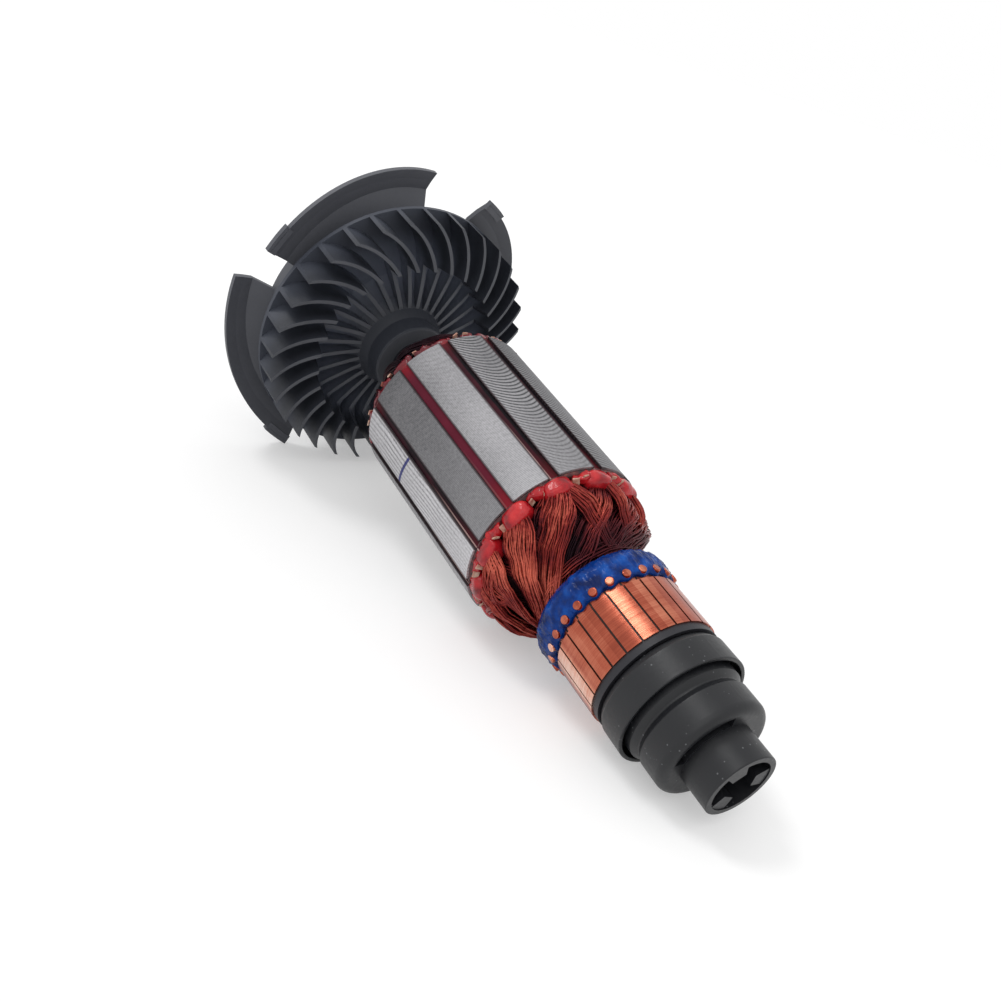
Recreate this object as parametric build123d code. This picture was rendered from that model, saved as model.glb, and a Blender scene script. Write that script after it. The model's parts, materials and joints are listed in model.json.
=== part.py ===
from build123d import *
import math
import os

os.makedirs("parts", exist_ok=True)

# Motor armature of a large hand tool, in millimetres.
# Everything is built about the shaft: the shaft lies on Z, the commutator end is +Z,
# and z = 0 is the front face of the lamination stack. Angle 0 runs through the middle
# of slot 1. At the end every piece is laid down as the armature really rests: on two
# points of the air baffle and on the edge of the rubber boot.

# Lamination stack
stack_r = 27.0
stack_len = 62.8
slot_count = 12
tooth_width = 5.2
slot_floor_r = 14.6
slot_opening = 2.6
lip_depth = 1.1
slot_shoulder = 1.3
floor_round = 1.2

# Slot insulation and closing strips
liner_wall = 0.4
wedge_foot = 0.6
wedge_recess = 0.7
slot_play = 0.05

# End insulators
plate_thickness = 1.2
plate_inset = 0.6
cover_ring_thickness = 1.0
cover_ring_inner_r = 19.8
lobe_r = 3.3
lobe_height = 2.7
lobe_chamfer = 0.9
nub_r = 1.7
nub_height = 1.3

# Shaft
shaft_back = -148.0
shaft_front = 69.4
pinion_seat_r = 5.0
pinion_seat_len = 15.0
relief_width = 1.2
relief_depth = 0.3
stack_seat_r = 7.5
fan_seat_r = 7.0
commutator_seat_r = 7.0
fan_seat_lead = 2.0
bearing_shoulder = 1.2
bearing_shoulder_len = 4.0
shaft_chamfer = 0.8
sleeve_wall = 0.9

# Commutator
bar_count = 24
bar_r = 18.4
bar_root_r = 11.5
bar_gap = 0.55
gap_depth = 0.35
bar_front = 49.0
bar_back = 33.2
riser_r = 17.6
riser_back = 27.8
hook_button_r = 1.2
hook_z = 30.8
hook_r = 19.5
hook_round = 0.35
hook_foot = 0.6
core_ring_r = 17.95
core_ring_len = 2.2
lacquer_back = 21.5
lacquer_front = 31.0
lacquer_r = 19.75
# The ring's rounded back: how far inside its widest line, and how far in front of its back edge
lacquer_bulge = [(1.6, 1.2), (0.25, 3.0), (0.0, 6.3)]
lacquer_edge = 0.8

# End windings
winding_lobes = 12
winding_lobe_height = 0.9
winding_twist = 50.0
winding_bulge_r = 23.9
winding_waist_r = 15.2
back_winding_len = 17.5
winding_cover_play = 0.3
winding_foot_draw = 0.4
# Outline of each head past the cover ring: what is added to the bulge's or the waist's radius,
# and how far past the resin lobes
front_head_bulge = [(-1.0, 1.6), (0.0, 4.0), (-3.2, 7.4)]
front_head_waist = (1.2, 11.5)
front_neck_inset = 0.9
back_head_bulge = [(-1.2, 1.6), (-1.0, 5.0)]
back_head_waist = (4.0, 10.0)

# Ball bearing at the commutator end
front_bearing_bore_r = 5.0
front_bearing_outer_r = 13.0
front_bearing_width = 8.0
front_bearing_back = 60.5
front_ball_r = 2.38
front_ball_count = 8

# Ball bearing at the drive end
rear_bearing_bore_r = 6.0
rear_bearing_outer_r = 16.0
rear_bearing_width = 10.0
rear_bearing_front = -114.0
rear_ball_r = 2.98
rear_ball_count = 8

ball_play = 0.03
cage_play = 0.12
cage_rim = 0.5
seal_play = 0.15
seal_thickness = 0.6
seal_inset = 0.2

# Rubber boot over the commutator-end bearing
boot_gap = 0.6
skirt_r = 18.4
skirt_end = 61.3
skirt_wall = 1.1
skirt_draft = 0.1
skirt_groove_depth = 4.4
collar_r = 15.6
collar_end = 74.6
collar_round = 2.5
waist_z = 64.2
waist_depth = 1.0
waist_round = 0.6
collar_ledge = 0.5
ledge_end = 62.5
waist_rise = 1.8
skirt_lead = 1.8
skirt_lead_round = 0.6
skirt_rim_round = 0.3
skirt_back_r = 16.2
skirt_back_step = 0.6
boot_seat_lip = 0.6
bearing_face_lip = 2.2
shaft_clearance = 0.3
skirt_hollow = 3.2
tip_r = 10.0
tip_end = 84.3
tip_round = 0.35
socket_r = 8.3
socket_depth = 7.0
lug_count = 3
lug_inner_r = 4.0
lug_inner_width = 3.8
lug_outer_width = 6.6
lug_phase = 43.1
lug_drop = 0.3
end_slot_inner_r = 10.3
end_slot_outer_r = 13.1
end_slot_depth = 3.0
end_slot_arc = 85.0
end_slot_phase = 55.6

# Cooling fan
fan_r = 44.8
fan_back = -108.5
fan_disc_thickness = 1.4
fan_hub_r = 12.5
fan_hub_front = -89.5
blade_count = 31
blade_thickness = 1.3
blade_sweep = 15.3
blade_lean = 5.0
blade_curve = 0.8
blade_root = 0.2
blade_overreach = 0.2
blade_hub_overlap = 3.0
blade_step_r = 30.4
blade_low_r = 15.3
blade_tip_front = -97.0
blade_step_front = -93.5
blade_low_front = -98.5
blade_notch_front = -101.0
blade_notch_width = 1.6
fan_hub_round = 0.8
blade_phase = 8.1
# Where the disc rises to the hub: shares of the way out from the hub, and up to its face
hub_slope = [(0.67, 0.02), (0.36, 0.11), (0.155, 0.29), (0.06, 0.49), (0.01, 0.66)]

# Air baffle behind the fan
baffle_r = 38.6
baffle_front = -110.5
baffle_wall = 1.8
baffle_back = -121.0
baffle_plate_front = -112.4
housing_wall = 2.6
housing_step = 0.7
housing_lip = 1.8
housing_back_rim = 1.0
vane_count = 4
vane_arc = 73.0
vane_phase = -4.4
vane_low_r = 51.2
vane_high_r = 52.9
vane_low_z = -122.1
vane_high_z = -110.1
vane_thickness = 1.8
vane_crease_r = 44.6
vane_dish_low = 1.5
vane_dish_high = 3.0
vane_root_low_z = -118.5
vane_root_high_z = -112.2
tab_arc = 10.0
tab_height = 1.1
tab_base = 2.0
tab_drop = 0.3
# Between the crease and the outer edge a vane has risen by this share of its dish
vane_rise = 0.38
# The vanes' roots reach this share of the wall into the ring
vane_bite = 0.6


def polar(r, deg):
    a = math.radians(deg)
    return (r * math.cos(a), r * math.sin(a))


def rounded(points):
    """A closed face through (x, y) points; a third number rounds that corner."""
    face = make_face(Polyline(*[p[:2] for p in points], close=True))
    for p in points:
        if len(p) == 3:
            corner = face.vertices().sort_by_distance((p[0], p[1], 0))[0]
            face = fillet(corner, p[2])
    return face


def turned(points):
    """A solid of revolution about the shaft from (radius, z) points."""
    return revolve(Plane.XZ * rounded(points), Axis.Z, 360)


def tube(inner, outer, z0, z1):
    return Pos(0, 0, z0) * extrude(Circle(outer) - Circle(inner), z1 - z0)


def between(face, z0, z1):
    return Pos(0, 0, z0) * extrude(face, z1 - z0)


def around(shape, count, start=0.0):
    return [Rot(0, 0, start + i * 360 / count) * shape for i in range(count)]


# Slot outline, its axis along +X

half_pitch = 180 / slot_count


def slot_half_width(r):
    """Half width of a slot between two teeth with parallel sides."""
    return r * math.tan(math.radians(half_pitch)) - tooth_width / 2 / math.cos(math.radians(half_pitch))


slot_top_r = stack_r - lip_depth - slot_shoulder
lip_r = stack_r - lip_depth


def slot_face(inset, top_r=None):
    """The slot's wide part, pulled in by inset on its sides and floor."""
    low = slot_floor_r + inset
    high = slot_top_r if top_r is None else top_r
    wide = slot_half_width(high) - inset
    narrow = slot_half_width(low) - inset
    turn = max(floor_round - inset, 0.2)
    return rounded([(low, -narrow, min(turn, narrow * 0.9)), (high, -wide),
                    (high, wide), (low, narrow, min(turn, narrow * 0.9))])


def slot_mouth(inset, outer_r):
    """The tapering shoulders and the narrow opening above the wide part."""
    wide = slot_half_width(slot_top_r) - inset
    neck = slot_opening / 2 - inset
    return make_face(Polyline((slot_top_r, -wide), (lip_r - inset, -neck), (outer_r, -neck),
                              (outer_r, neck), (lip_r - inset, neck), (slot_top_r, wide), close=True))


def lamination(outer_r, bore_r):
    face = Circle(outer_r) - Circle(bore_r)
    slot = slot_face(0) + slot_mouth(0, stack_r + 1)
    for copy in around(slot, slot_count):
        face = face - copy
    return face


def make_stack():
    return between(lamination(stack_r, stack_seat_r), -stack_len, 0)


def make_liners():
    lined = slot_face(0)
    inside = slot_face(liner_wall, slot_top_r)
    strip = between(lined - inside, -stack_len - plate_thickness, plate_thickness)
    return around(strip, slot_count)


def make_slot_windings():
    inside = slot_face(liner_wall + slot_play, slot_top_r - slot_play - wedge_foot)
    coil_side = between(inside, -stack_len - plate_thickness, plate_thickness)
    return around(coil_side, slot_count)


def make_wedge():
    foot_r = slot_top_r - wedge_foot
    foot = slot_half_width(foot_r) - liner_wall - slot_play
    shoulder = slot_half_width(slot_top_r) - liner_wall - slot_play
    neck = slot_opening / 2 - slot_play
    top = stack_r - wedge_recess
    face = make_face(Polyline((foot_r, -foot), (slot_top_r, -shoulder), (lip_r - slot_play, -neck),
                              (top, -neck), (top, neck), (lip_r - slot_play, neck),
                              (slot_top_r, shoulder), (foot_r, foot), close=True))
    return between(face, -stack_len - plate_thickness, plate_thickness)


def make_end_insulator():
    """Fibre end plate with the red cover ring; it stands on z = 0 and faces +Z."""
    plate = between(lamination(stack_r - plate_inset, stack_seat_r + sleeve_wall), 0, plate_thickness)
    ring_outer = stack_r - plate_inset
    cover_top = plate_thickness + cover_ring_thickness
    cover = tube(cover_ring_inner_r, ring_outer, plate_thickness, cover_top)
    lobe_face = Pos(ring_outer - lobe_r, 0) * Circle(lobe_r)
    lobe = between(lobe_face, cover_top, cover_top + lobe_height)
    lobe = chamfer(lobe.edges().group_by(Axis.Z)[-1], lobe_chamfer)
    nub_face = Pos(ring_outer - nub_r, 0) * Circle(nub_r)
    nub = between(nub_face, cover_top, cover_top + nub_height)
    body = plate + cover
    for copy in around(lobe, slot_count) + around(nub, slot_count, half_pitch):
        body = body + copy
    return body


def make_shaft():
    """Stepped shaft; a grinding relief runs between the pinion's seat and its shoulder."""
    c = shaft_chamfer
    r0 = pinion_seat_r
    z1 = shaft_back + pinion_seat_len
    z2 = rear_bearing_front
    z3 = fan_hub_front + fan_seat_lead
    z4 = lacquer_back
    z5 = front_bearing_back - bearing_shoulder_len
    z6 = front_bearing_back
    shoulder_r = front_bearing_bore_r + bearing_shoulder
    return turned([(0, shaft_back), (r0 - c, shaft_back), (r0, shaft_back + c),
                   (r0, z1 - relief_width), (r0 - relief_depth, z1 - relief_width + relief_depth),
                   (r0 - relief_depth, z1), (rear_bearing_bore_r - c / 2, z1),
                   (rear_bearing_bore_r, z1 + c / 2),
                   (rear_bearing_bore_r, z2), (fan_seat_r, z2), (fan_seat_r, z3), (stack_seat_r, z3),
                   (stack_seat_r, z4), (commutator_seat_r, z4), (commutator_seat_r, z5),
                   (shoulder_r, z5), (shoulder_r, z6),
                   (front_bearing_bore_r, z6), (front_bearing_bore_r, shaft_front - c),
                   (front_bearing_bore_r - c, shaft_front), (0, shaft_front)])


def make_shaft_sleeves():
    r0 = stack_seat_r
    r1 = stack_seat_r + sleeve_wall
    front = tube(r0, r1, 0, lacquer_back)
    back = tube(r0, r1, -stack_len - plate_thickness - back_winding_len, -stack_len)
    return [front, back]


def bar_face():
    half = 180 / bar_count
    start = bar_gap / 2 / math.sin(math.radians(half))
    far = 2 * bar_r
    x, y = polar(far, half)
    sector = make_face(Polyline((start, 0), (start + x, -y), (start + x, y), close=True))
    return sector & (Circle(bar_r) - Circle(bar_root_r))


def hook_button():
    """The bent-over hook of a bar: a round copper button standing out from the bar."""
    base = riser_r - hook_foot
    button = extrude(Plane.YZ.offset(base) * Pos(0, hook_z) * Circle(hook_button_r), hook_r - base)
    return fillet(button.edges().group_by(Axis.X)[-1], hook_round)


def make_bar():
    bar = between(bar_face(), bar_back, bar_front)
    riser = between(bar_face() & Circle(riser_r), riser_back, bar_back)
    return bar + riser + hook_button()


def make_core():
    face = Circle(bar_r - gap_depth) - Circle(commutator_seat_r)
    for copy in around(bar_face(), bar_count, 180 / bar_count):
        face = face - copy
    ribs = between(face, bar_back, bar_front)
    narrow = between(face & Circle(riser_r), riser_back, bar_back)
    ring = tube(commutator_seat_r, core_ring_r, bar_front, bar_front + core_ring_len)
    return ribs + narrow + ring


def make_lacquer_ring():
    back, front = lacquer_back, lacquer_front
    bulge = [(lacquer_r - inset, back + ahead) for inset, ahead in lacquer_bulge]
    ring = turned([(commutator_seat_r, back), (winding_waist_r, back), *bulge,
                   (lacquer_r - lacquer_edge / 4, front - lacquer_edge / 2),
                   (lacquer_r - lacquer_edge, front), (riser_r, front), (riser_r, riser_back),
                   (commutator_seat_r, riser_back)])
    for copy in around(hook_button(), bar_count, 180 / bar_count):
        ring = ring - copy
    return ring


def lobed_outline(r, height, z, turn):
    """A closed wavy curve: one crest for each bundle of wires."""
    points = []
    for i in range(2 * winding_lobes):
        reach = r + (height if i % 2 == 0 else -height)
        x, y = polar(reach, turn + i * 180 / winding_lobes)
        points.append((x, y, z))
    return make_face(Spline(*points, periodic=True))


def make_winding(stations):
    """A winding head: wire bundles laid slantwise, as one mass soaked in resin."""
    z0 = stations[0][1]
    z1 = stations[-1][1]
    faces = []
    for r, z in stations:
        share = (z - z0) / (z1 - z0)
        height = winding_lobe_height * min(1.0, 4 * share * (1.25 - share) + 0.25)
        faces.append(lobed_outline(r, height, z, half_pitch + winding_twist * share))
    head = loft(faces)
    low, high = min(z0, z1), max(z0, z1)
    return head & tube(stack_seat_r + sleeve_wall, stack_r, low, high)


def head_stations(bulge, waist, end_r, end_z):
    """Radius and distance from the stack's face along a head, for a head that faces +Z."""
    under = cover_ring_inner_r - winding_lobe_height - winding_cover_play
    clear = plate_thickness + cover_ring_thickness + lobe_height
    foot = [(under - winding_foot_draw, plate_thickness), (under, clear)]
    swell = [(winding_bulge_r + more, clear + ahead) for more, ahead in bulge]
    neck = [(winding_waist_r + waist[0], clear + waist[1]), (end_r, end_z)]
    return foot + swell + neck


def front_winding_stations():
    return head_stations(front_head_bulge, front_head_waist, winding_waist_r - front_neck_inset, lacquer_back)


def back_winding_stations():
    end = plate_thickness + back_winding_len
    ahead = head_stations(back_head_bulge, back_head_waist, winding_waist_r, end)
    return [(r, -stack_len - z) for r, z in ahead]


def ball_bearing(bore_r, outer_r, width, z0, ball_r, ball_count):
    """Inner ring, outer ring, balls, cage and seals, standing from z0 to z0 + width."""
    pitch_r = (bore_r + outer_r) / 2
    middle = z0 + width / 2
    ring_gap = ball_r * 0.62
    groove = Plane.XZ * Pos(pitch_r, middle) * Circle(ball_r + ball_play)
    race = revolve(groove, Axis.Z, 360)
    inner = tube(bore_r, pitch_r - ring_gap, z0, z0 + width) - race
    outer = tube(pitch_r + ring_gap, outer_r, z0, z0 + width) - race
    ball = Pos(pitch_r, 0, middle) * Sphere(ball_r)
    balls = around(ball, ball_count)
    web = ring_gap * 0.5
    half = ball_r + cage_play + cage_rim
    cage = tube(pitch_r - web, pitch_r + web, middle - half, middle + half)
    pocket = Plane.YZ * Pos(0, middle) * Circle(ball_r + cage_play)
    for copy in around(extrude(pocket, outer_r), ball_count):
        cage = cage - copy
    lip = tube(pitch_r - ring_gap + seal_play, pitch_r + ring_gap, 0, seal_thickness)
    seals = [Pos(0, 0, z0 + seal_inset) * lip, Pos(0, 0, z0 + width - seal_inset - seal_thickness) * lip]
    return inner, outer, balls, cage, seals


def socket_lug():
    """Plan of a lug in the tip's socket: it widens towards the wall and ends inside it."""
    half_in = lug_inner_width / 2
    half_out = lug_outer_width / 2
    wall = (socket_r + tip_r) / 2
    tongue = make_face(Polyline((lug_inner_r, -half_in), (wall, -half_out), (wall, half_out),
                                (lug_inner_r, half_in), close=True))
    return tongue & Circle(wall)


def end_slot_plan():
    """Plan of a curved slot in the collar's end face."""
    half = end_slot_arc / 2
    far = 3 * collar_r
    sector = make_face(Polyline((0, 0), polar(far, -half), polar(far, half), close=True))
    return sector & (Circle(end_slot_outer_r) - Circle(end_slot_inner_r))


socket_floor = tip_end - socket_depth


def make_boot():
    """Skirt and collar, up to the plain foot of the tip."""
    z0 = bar_front + core_ring_len + boot_gap
    seat_r = front_bearing_outer_r
    seat0 = front_bearing_back
    seat1 = front_bearing_back + front_bearing_width
    floor = shaft_front + shaft_clearance
    lip_r = skirt_r - skirt_wall
    groove_end = skirt_end - skirt_groove_depth
    mouth = z0 + skirt_hollow
    ledge_r = collar_r + collar_ledge
    body = turned([(seat_r - boot_seat_lip, mouth), (skirt_back_r - skirt_back_step, mouth),
                   (skirt_back_r, z0 + skirt_back_step), (skirt_back_r, z0), (skirt_back_r + skirt_wall, z0),
                   (skirt_r - skirt_draft, z0 + skirt_lead, skirt_lead_round),
                   (skirt_r, skirt_end, skirt_rim_round), (lip_r, skirt_end, skirt_rim_round),
                   (lip_r - skirt_draft, groove_end), (ledge_r, groove_end), (ledge_r, ledge_end),
                   (collar_r - waist_depth, waist_z, waist_round),
                   (collar_r, waist_z + waist_rise, waist_round),
                   (collar_r, collar_end, collar_round), (tip_r, collar_end), (tip_r, socket_floor),
                   (0, socket_floor), (0, floor),
                   (seat_r - bearing_face_lip, floor), (seat_r - bearing_face_lip, seat1), (seat_r, seat1),
                   (seat_r, seat0), (seat_r - boot_seat_lip, seat0)])
    slot = between(end_slot_plan(), collar_end - end_slot_depth, collar_end + 1)
    for copy in around(slot, 2, end_slot_phase):
        body = body - copy
    return body


def make_boot_tip():
    """The rim of the tip round its socket, with the lugs inside."""
    rim = turned([(socket_r, socket_floor), (tip_r, socket_floor), (tip_r, tip_end, tip_round),
                  (socket_r, tip_end)])
    lug = between(socket_lug(), socket_floor, tip_end - lug_drop)
    for copy in around(lug, lug_count, lug_phase):
        rim = rim + copy
    return rim


def blade_line(offset, points=7):
    """One side of a blade in plan: straight near the hub, swept back outside the step."""
    line = []
    start = blade_low_r - blade_hub_overlap
    end = fan_r + blade_overreach
    for i in range(points):
        share = i / (points - 1)
        r = start + share * (end - start)
        if r < blade_step_r:
            turn = -blade_sweep - blade_lean * (blade_step_r - r) / (blade_step_r - blade_low_r)
        else:
            turn = -blade_sweep * ((end - r) / (end - blade_step_r)) ** blade_curve
        x, y = polar(r, turn)
        side = math.degrees(offset / r)
        line.append(polar(r, turn + side))
    return line


def make_fan():
    low = fan_back + blade_root
    left = Spline(*blade_line(blade_thickness / 2))
    right = Spline(*blade_line(-blade_thickness / 2))
    ends = Line(left @ 0, right @ 0) + Line(left @ 1, right @ 1)
    plan = make_face(left + right + ends)
    step = blade_step_r
    notch_r = step - blade_notch_width
    envelope = turned([(0, low), (fan_r, low), (fan_r, blade_tip_front), (step, blade_step_front),
                       (notch_r, blade_notch_front), (blade_low_r, blade_low_front), (0, blade_low_front)])
    blade = between(plan, low, blade_step_front + 1) & envelope
    front = fan_back + fan_disc_thickness
    rise = fan_hub_front - front
    slope = [(fan_hub_r + (fan_r - fan_hub_r) * out, front + rise * up) for out, up in hub_slope]
    disc = turned([(fan_seat_r, fan_back), (fan_r, fan_back), (fan_r, front), *slope,
                   (fan_hub_r, fan_hub_front, fan_hub_round), (fan_seat_r, fan_hub_front)])
    return disc.fuse(*around(blade, blade_count, blade_phase))


def vane_reach(share):
    return vane_low_r + (vane_high_r - vane_low_r) * share


def vane_level(share):
    return vane_low_z + (vane_high_z - vane_low_z) * share


def vane_slice(share, lines):
    """A closed radial slice of a vane from the (radius, z) points of its front face."""
    deg = vane_arc * share
    plane = Plane(origin=(0, 0, 0), x_dir=(*polar(1, deg), 0), z_dir=(*polar(1, deg - 90), 0))
    under = [(r, z - vane_thickness) for r, z in reversed(lines)]
    return plane * make_face(Polyline(*lines, *under, close=True))


def vane_front(share):
    """The dished front of a vane: its root on the ring, a crease, and the raised outer edge."""
    level = vane_level(share)
    dish = vane_dish_low + (vane_dish_high - vane_dish_low) * share
    root = vane_root_low_z + (vane_root_high_z - vane_root_low_z) * share
    reach = vane_reach(share)
    midway_r = (vane_crease_r + reach) / 2
    return [(baffle_r - baffle_wall * vane_bite, root), (vane_crease_r, level - dish),
            (midway_r, level - dish * (1 - vane_rise)), (reach, level)]


def make_vane():
    """One guide vane: a helical ramp with a small tab at its high end."""
    steps = 5
    ramp = loft([vane_slice(i / steps, vane_front(i / steps)) for i in range(steps + 1)])
    tab = []
    for i in range(3):
        share = 1 - (tab_arc / vane_arc) * (1 - i / 2)
        reach = vane_reach(share)
        level = vane_level(share)
        tab.append(vane_slice(share, [(reach - tab_base, level - tab_drop), (reach + tab_height, level)]))
    return ramp + loft(tab)


def make_baffle_ring():
    ring = tube(baffle_r - baffle_wall, baffle_r, baffle_back, baffle_front)
    for copy in around(make_vane(), vane_count, vane_phase):
        ring = ring + copy
    return ring


housing_r = rear_bearing_outer_r + housing_wall
plate_inner_r = housing_r - housing_step
baffle_plate_back = baffle_plate_front - baffle_wall


def make_baffle_plate():
    return tube(plate_inner_r, baffle_r - baffle_wall, baffle_plate_back, baffle_plate_front)


def make_bearing_housing():
    """Sleeve round the rear bearing; its neck fills the plate, and its step meets the plate's back."""
    seat_r = rear_bearing_outer_r
    lip_r = seat_r - housing_lip
    back = rear_bearing_front - rear_bearing_width - housing_back_rim
    return turned([(lip_r, baffle_plate_front), (plate_inner_r, baffle_plate_front),
                   (plate_inner_r, baffle_plate_back), (housing_r, baffle_plate_back), (housing_r, back),
                   (seat_r, back), (seat_r, rear_bearing_front), (lip_r, rear_bearing_front)])


# Rest position: the lowest stable way the armature can lie

def support(points, tilt, down):
    """How far the given (r, angle, z) points reach below the shaft's z = 0 point."""
    ct, st = math.cos(tilt), math.sin(tilt)
    best = -1e9
    for r, deg, z in points:
        best = max(best, r * math.cos(math.radians(deg - down)) * ct + z * st)
    return best


def baffle_points():
    points = []
    steps = 146
    for k in range(vane_count):
        for i in range(steps + 1):
            share = i / steps
            reach = vane_reach(share)
            if share >= 1 - tab_arc / vane_arc:
                reach += tab_height
            deg = vane_phase + k * 360 / vane_count + vane_arc * share
            points.append((reach, deg, vane_level(share)))
            points.append((reach, deg, vane_level(share) - vane_thickness))
    return points


def boot_reach(tilt):
    ct, st = math.cos(tilt), math.sin(tilt)
    rings = [(skirt_r, skirt_end), (collar_r, collar_end - collar_round), (tip_r, tip_end - tip_round)]
    return max(r * ct + z * st for r, z in rings)


def settle(points, start):
    """Tilt and turn at which the baffle's two lowest points and the boot all touch."""
    low, high = math.radians(5), math.radians(20)
    down = start
    for _ in range(26):
        tilt = (low + high) / 2
        span = 12.0
        while span > 0.002:
            turns = [down + span * (j / 6 - 1) for j in range(13)]
            down = min(turns, key=lambda a: support(points, tilt, a))
            span /= 2.5
        if support(points, tilt, down) > boot_reach(tilt):
            low = tilt
        else:
            high = tilt
    return tilt, down


rest_guess = 180.0
rest_tilt, rest_down = settle(baffle_points(), rest_guess)


def laid_down(origin):
    """The plane that carries the armature's own frame when it lies at rest."""
    ct, st = math.cos(rest_tilt), math.sin(rest_tilt)
    along = Vector(ct, 0, -st)
    below = Vector(-st, 0, -ct)
    across = Vector(0, 1, 0)
    a = math.radians(rest_down)
    x_dir = below * math.cos(a) - across * math.sin(a)
    return Plane(origin=origin, x_dir=x_dir, z_dir=along)


def build_all():
    nodes = {}
    nodes["shaft"] = [make_shaft()]
    nodes["lamination_stack"] = [make_stack()]
    nodes["slot_liners"] = make_liners()
    nodes["slot_windings"] = make_slot_windings()
    wedge = make_wedge()
    for i, copy in enumerate(around(wedge, slot_count)):
        nodes["slot_wedge_%02d" % (i + 1)] = [copy]
    insulator = make_end_insulator()
    nodes["front_end_insulator"] = [insulator]
    nodes["back_end_insulator"] = [Pos(0, 0, -stack_len) * Rot(180, 0, 0) * insulator]
    nodes["shaft_sleeves"] = make_shaft_sleeves()
    nodes["front_end_winding"] = [make_winding(front_winding_stations())]
    nodes["back_end_winding"] = [make_winding(back_winding_stations())]
    nodes["commutator_core"] = [make_core()]
    bar = make_bar()
    for i, copy in enumerate(around(bar, bar_count, 180 / bar_count)):
        nodes["commutator_bar_%02d" % (i + 1)] = [copy]
    nodes["lacquer_ring"] = [make_lacquer_ring()]
    inner, outer, balls, cage, seals = ball_bearing(front_bearing_bore_r, front_bearing_outer_r,
                                             front_bearing_width, front_bearing_back,
                                             front_ball_r, front_ball_count)
    nodes["front_bearing_inner_ring"] = [inner]
    nodes["front_bearing_outer_ring"] = [outer]
    nodes["front_bearing_balls"] = balls
    nodes["front_bearing_cage"] = [cage]
    nodes["front_bearing_seals"] = seals
    nodes["rubber_boot"] = [make_boot()]
    nodes["boot_tip"] = [make_boot_tip()]
    inner, outer, balls, cage, seals = ball_bearing(rear_bearing_bore_r, rear_bearing_outer_r,
                                             rear_bearing_width, rear_bearing_front - rear_bearing_width,
                                             rear_ball_r, rear_ball_count)
    nodes["rear_bearing_inner_ring"] = [inner]
    nodes["rear_bearing_outer_ring"] = [outer]
    nodes["rear_bearing_balls"] = balls
    nodes["rear_bearing_cage"] = [cage]
    nodes["rear_bearing_seals"] = seals
    nodes["cooling_fan"] = [make_fan()]
    nodes["air_baffle"] = [make_baffle_ring()]
    nodes["baffle_plate"] = [make_baffle_plate()]
    nodes["bearing_housing"] = [make_bearing_housing()]
    return nodes


nodes = build_all()
loose = laid_down((0, 0, 0))
reach = Compound(children=[loose * s for solids in nodes.values() for s in solids]).bounding_box()
origin = Vector(-(reach.min.X + reach.max.X) / 2, -(reach.min.Y + reach.max.Y) / 2, -reach.min.Z)
rest = laid_down(origin)
for name, solids in nodes.items():
    placed = [rest * s for s in solids]
    shape = placed[0] if len(placed) == 1 else Compound(children=placed)
    export_step(shape, "parts/%s.step" % name)

along = rest.z_dir
print("tilt", round(math.degrees(rest_tilt), 3), "down", round(rest_down, 3))
print("origin", tuple(round(v, 4) for v in origin), "axis", tuple(round(v, 6) for v in along))
print("x_dir", tuple(round(v, 6) for v in rest.x_dir))
print("nodes", len(nodes))
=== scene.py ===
import bpy
import bmesh
import json
import math
import random
from mathutils import Matrix, Vector, noise


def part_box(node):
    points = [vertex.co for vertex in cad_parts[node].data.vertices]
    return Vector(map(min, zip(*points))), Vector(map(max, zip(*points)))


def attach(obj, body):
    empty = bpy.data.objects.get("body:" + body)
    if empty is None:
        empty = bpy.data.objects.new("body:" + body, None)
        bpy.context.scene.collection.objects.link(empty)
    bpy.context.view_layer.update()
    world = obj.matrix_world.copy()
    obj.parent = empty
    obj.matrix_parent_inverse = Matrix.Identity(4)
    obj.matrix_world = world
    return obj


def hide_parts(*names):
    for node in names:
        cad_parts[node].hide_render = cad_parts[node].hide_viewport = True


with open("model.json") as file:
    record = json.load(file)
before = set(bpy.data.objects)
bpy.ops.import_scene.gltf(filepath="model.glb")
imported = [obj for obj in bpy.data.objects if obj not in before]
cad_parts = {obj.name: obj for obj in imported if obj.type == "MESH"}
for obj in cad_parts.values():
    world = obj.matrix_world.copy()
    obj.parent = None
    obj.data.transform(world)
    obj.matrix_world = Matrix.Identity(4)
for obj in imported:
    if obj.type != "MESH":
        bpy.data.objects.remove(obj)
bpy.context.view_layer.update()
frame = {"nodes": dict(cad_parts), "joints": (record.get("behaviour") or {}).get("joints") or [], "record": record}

# Sizes in mm, in the shaft's own frame: z along the shaft, 0 at the front face of the lamination
# stack, + towards the commutator, and angle 0 through the middle of slot 1. Meshes are in metres.

MM = 0.001
STACK_R = 27.0
STACK_LEN = 62.8
SLOTS = 12
SLOT_PITCH = 360 / SLOTS
BARS = 24
BAR_PITCH = 360 / BARS
BEARING_Z = 64.5
BOARD = 1.2
SLEEVE_R = 8.4
# Radius of the hole in what sits round the insulating sleeve
INNER_R = SLEEVE_R + 0.05


def placed(x, y, z, start):
    """The matrix with these three axes and this starting point."""
    rows = [(x[i], y[i], z[i], start[i]) for i in range(3)]
    return Matrix((*rows, (0, 0, 0, 1)))


def shaft_frame():
    """The matrix that carries the shaft's own frame to the place where the part lies."""
    turn = next(j for j in frame["joints"] if j["name"] == "boot_turn")
    axis = Vector(turn["axis"]).normalized()
    start = Vector(turn["pos_m"]) - axis * (BEARING_Z * MM)
    low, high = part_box("slot_wedge_01")
    out = (Vector(low) + Vector(high)) / 2 - start
    x = (out - axis * out.dot(axis)).normalized()
    return placed(x, axis.cross(x), axis, start)


SHAFT = shaft_frame()
AXIS = SHAFT.col[2].to_3d()
SIDE_X = SHAFT.col[0].to_3d()
SIDE_Y = SHAFT.col[1].to_3d()
START = SHAFT.col[3].to_3d()


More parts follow.
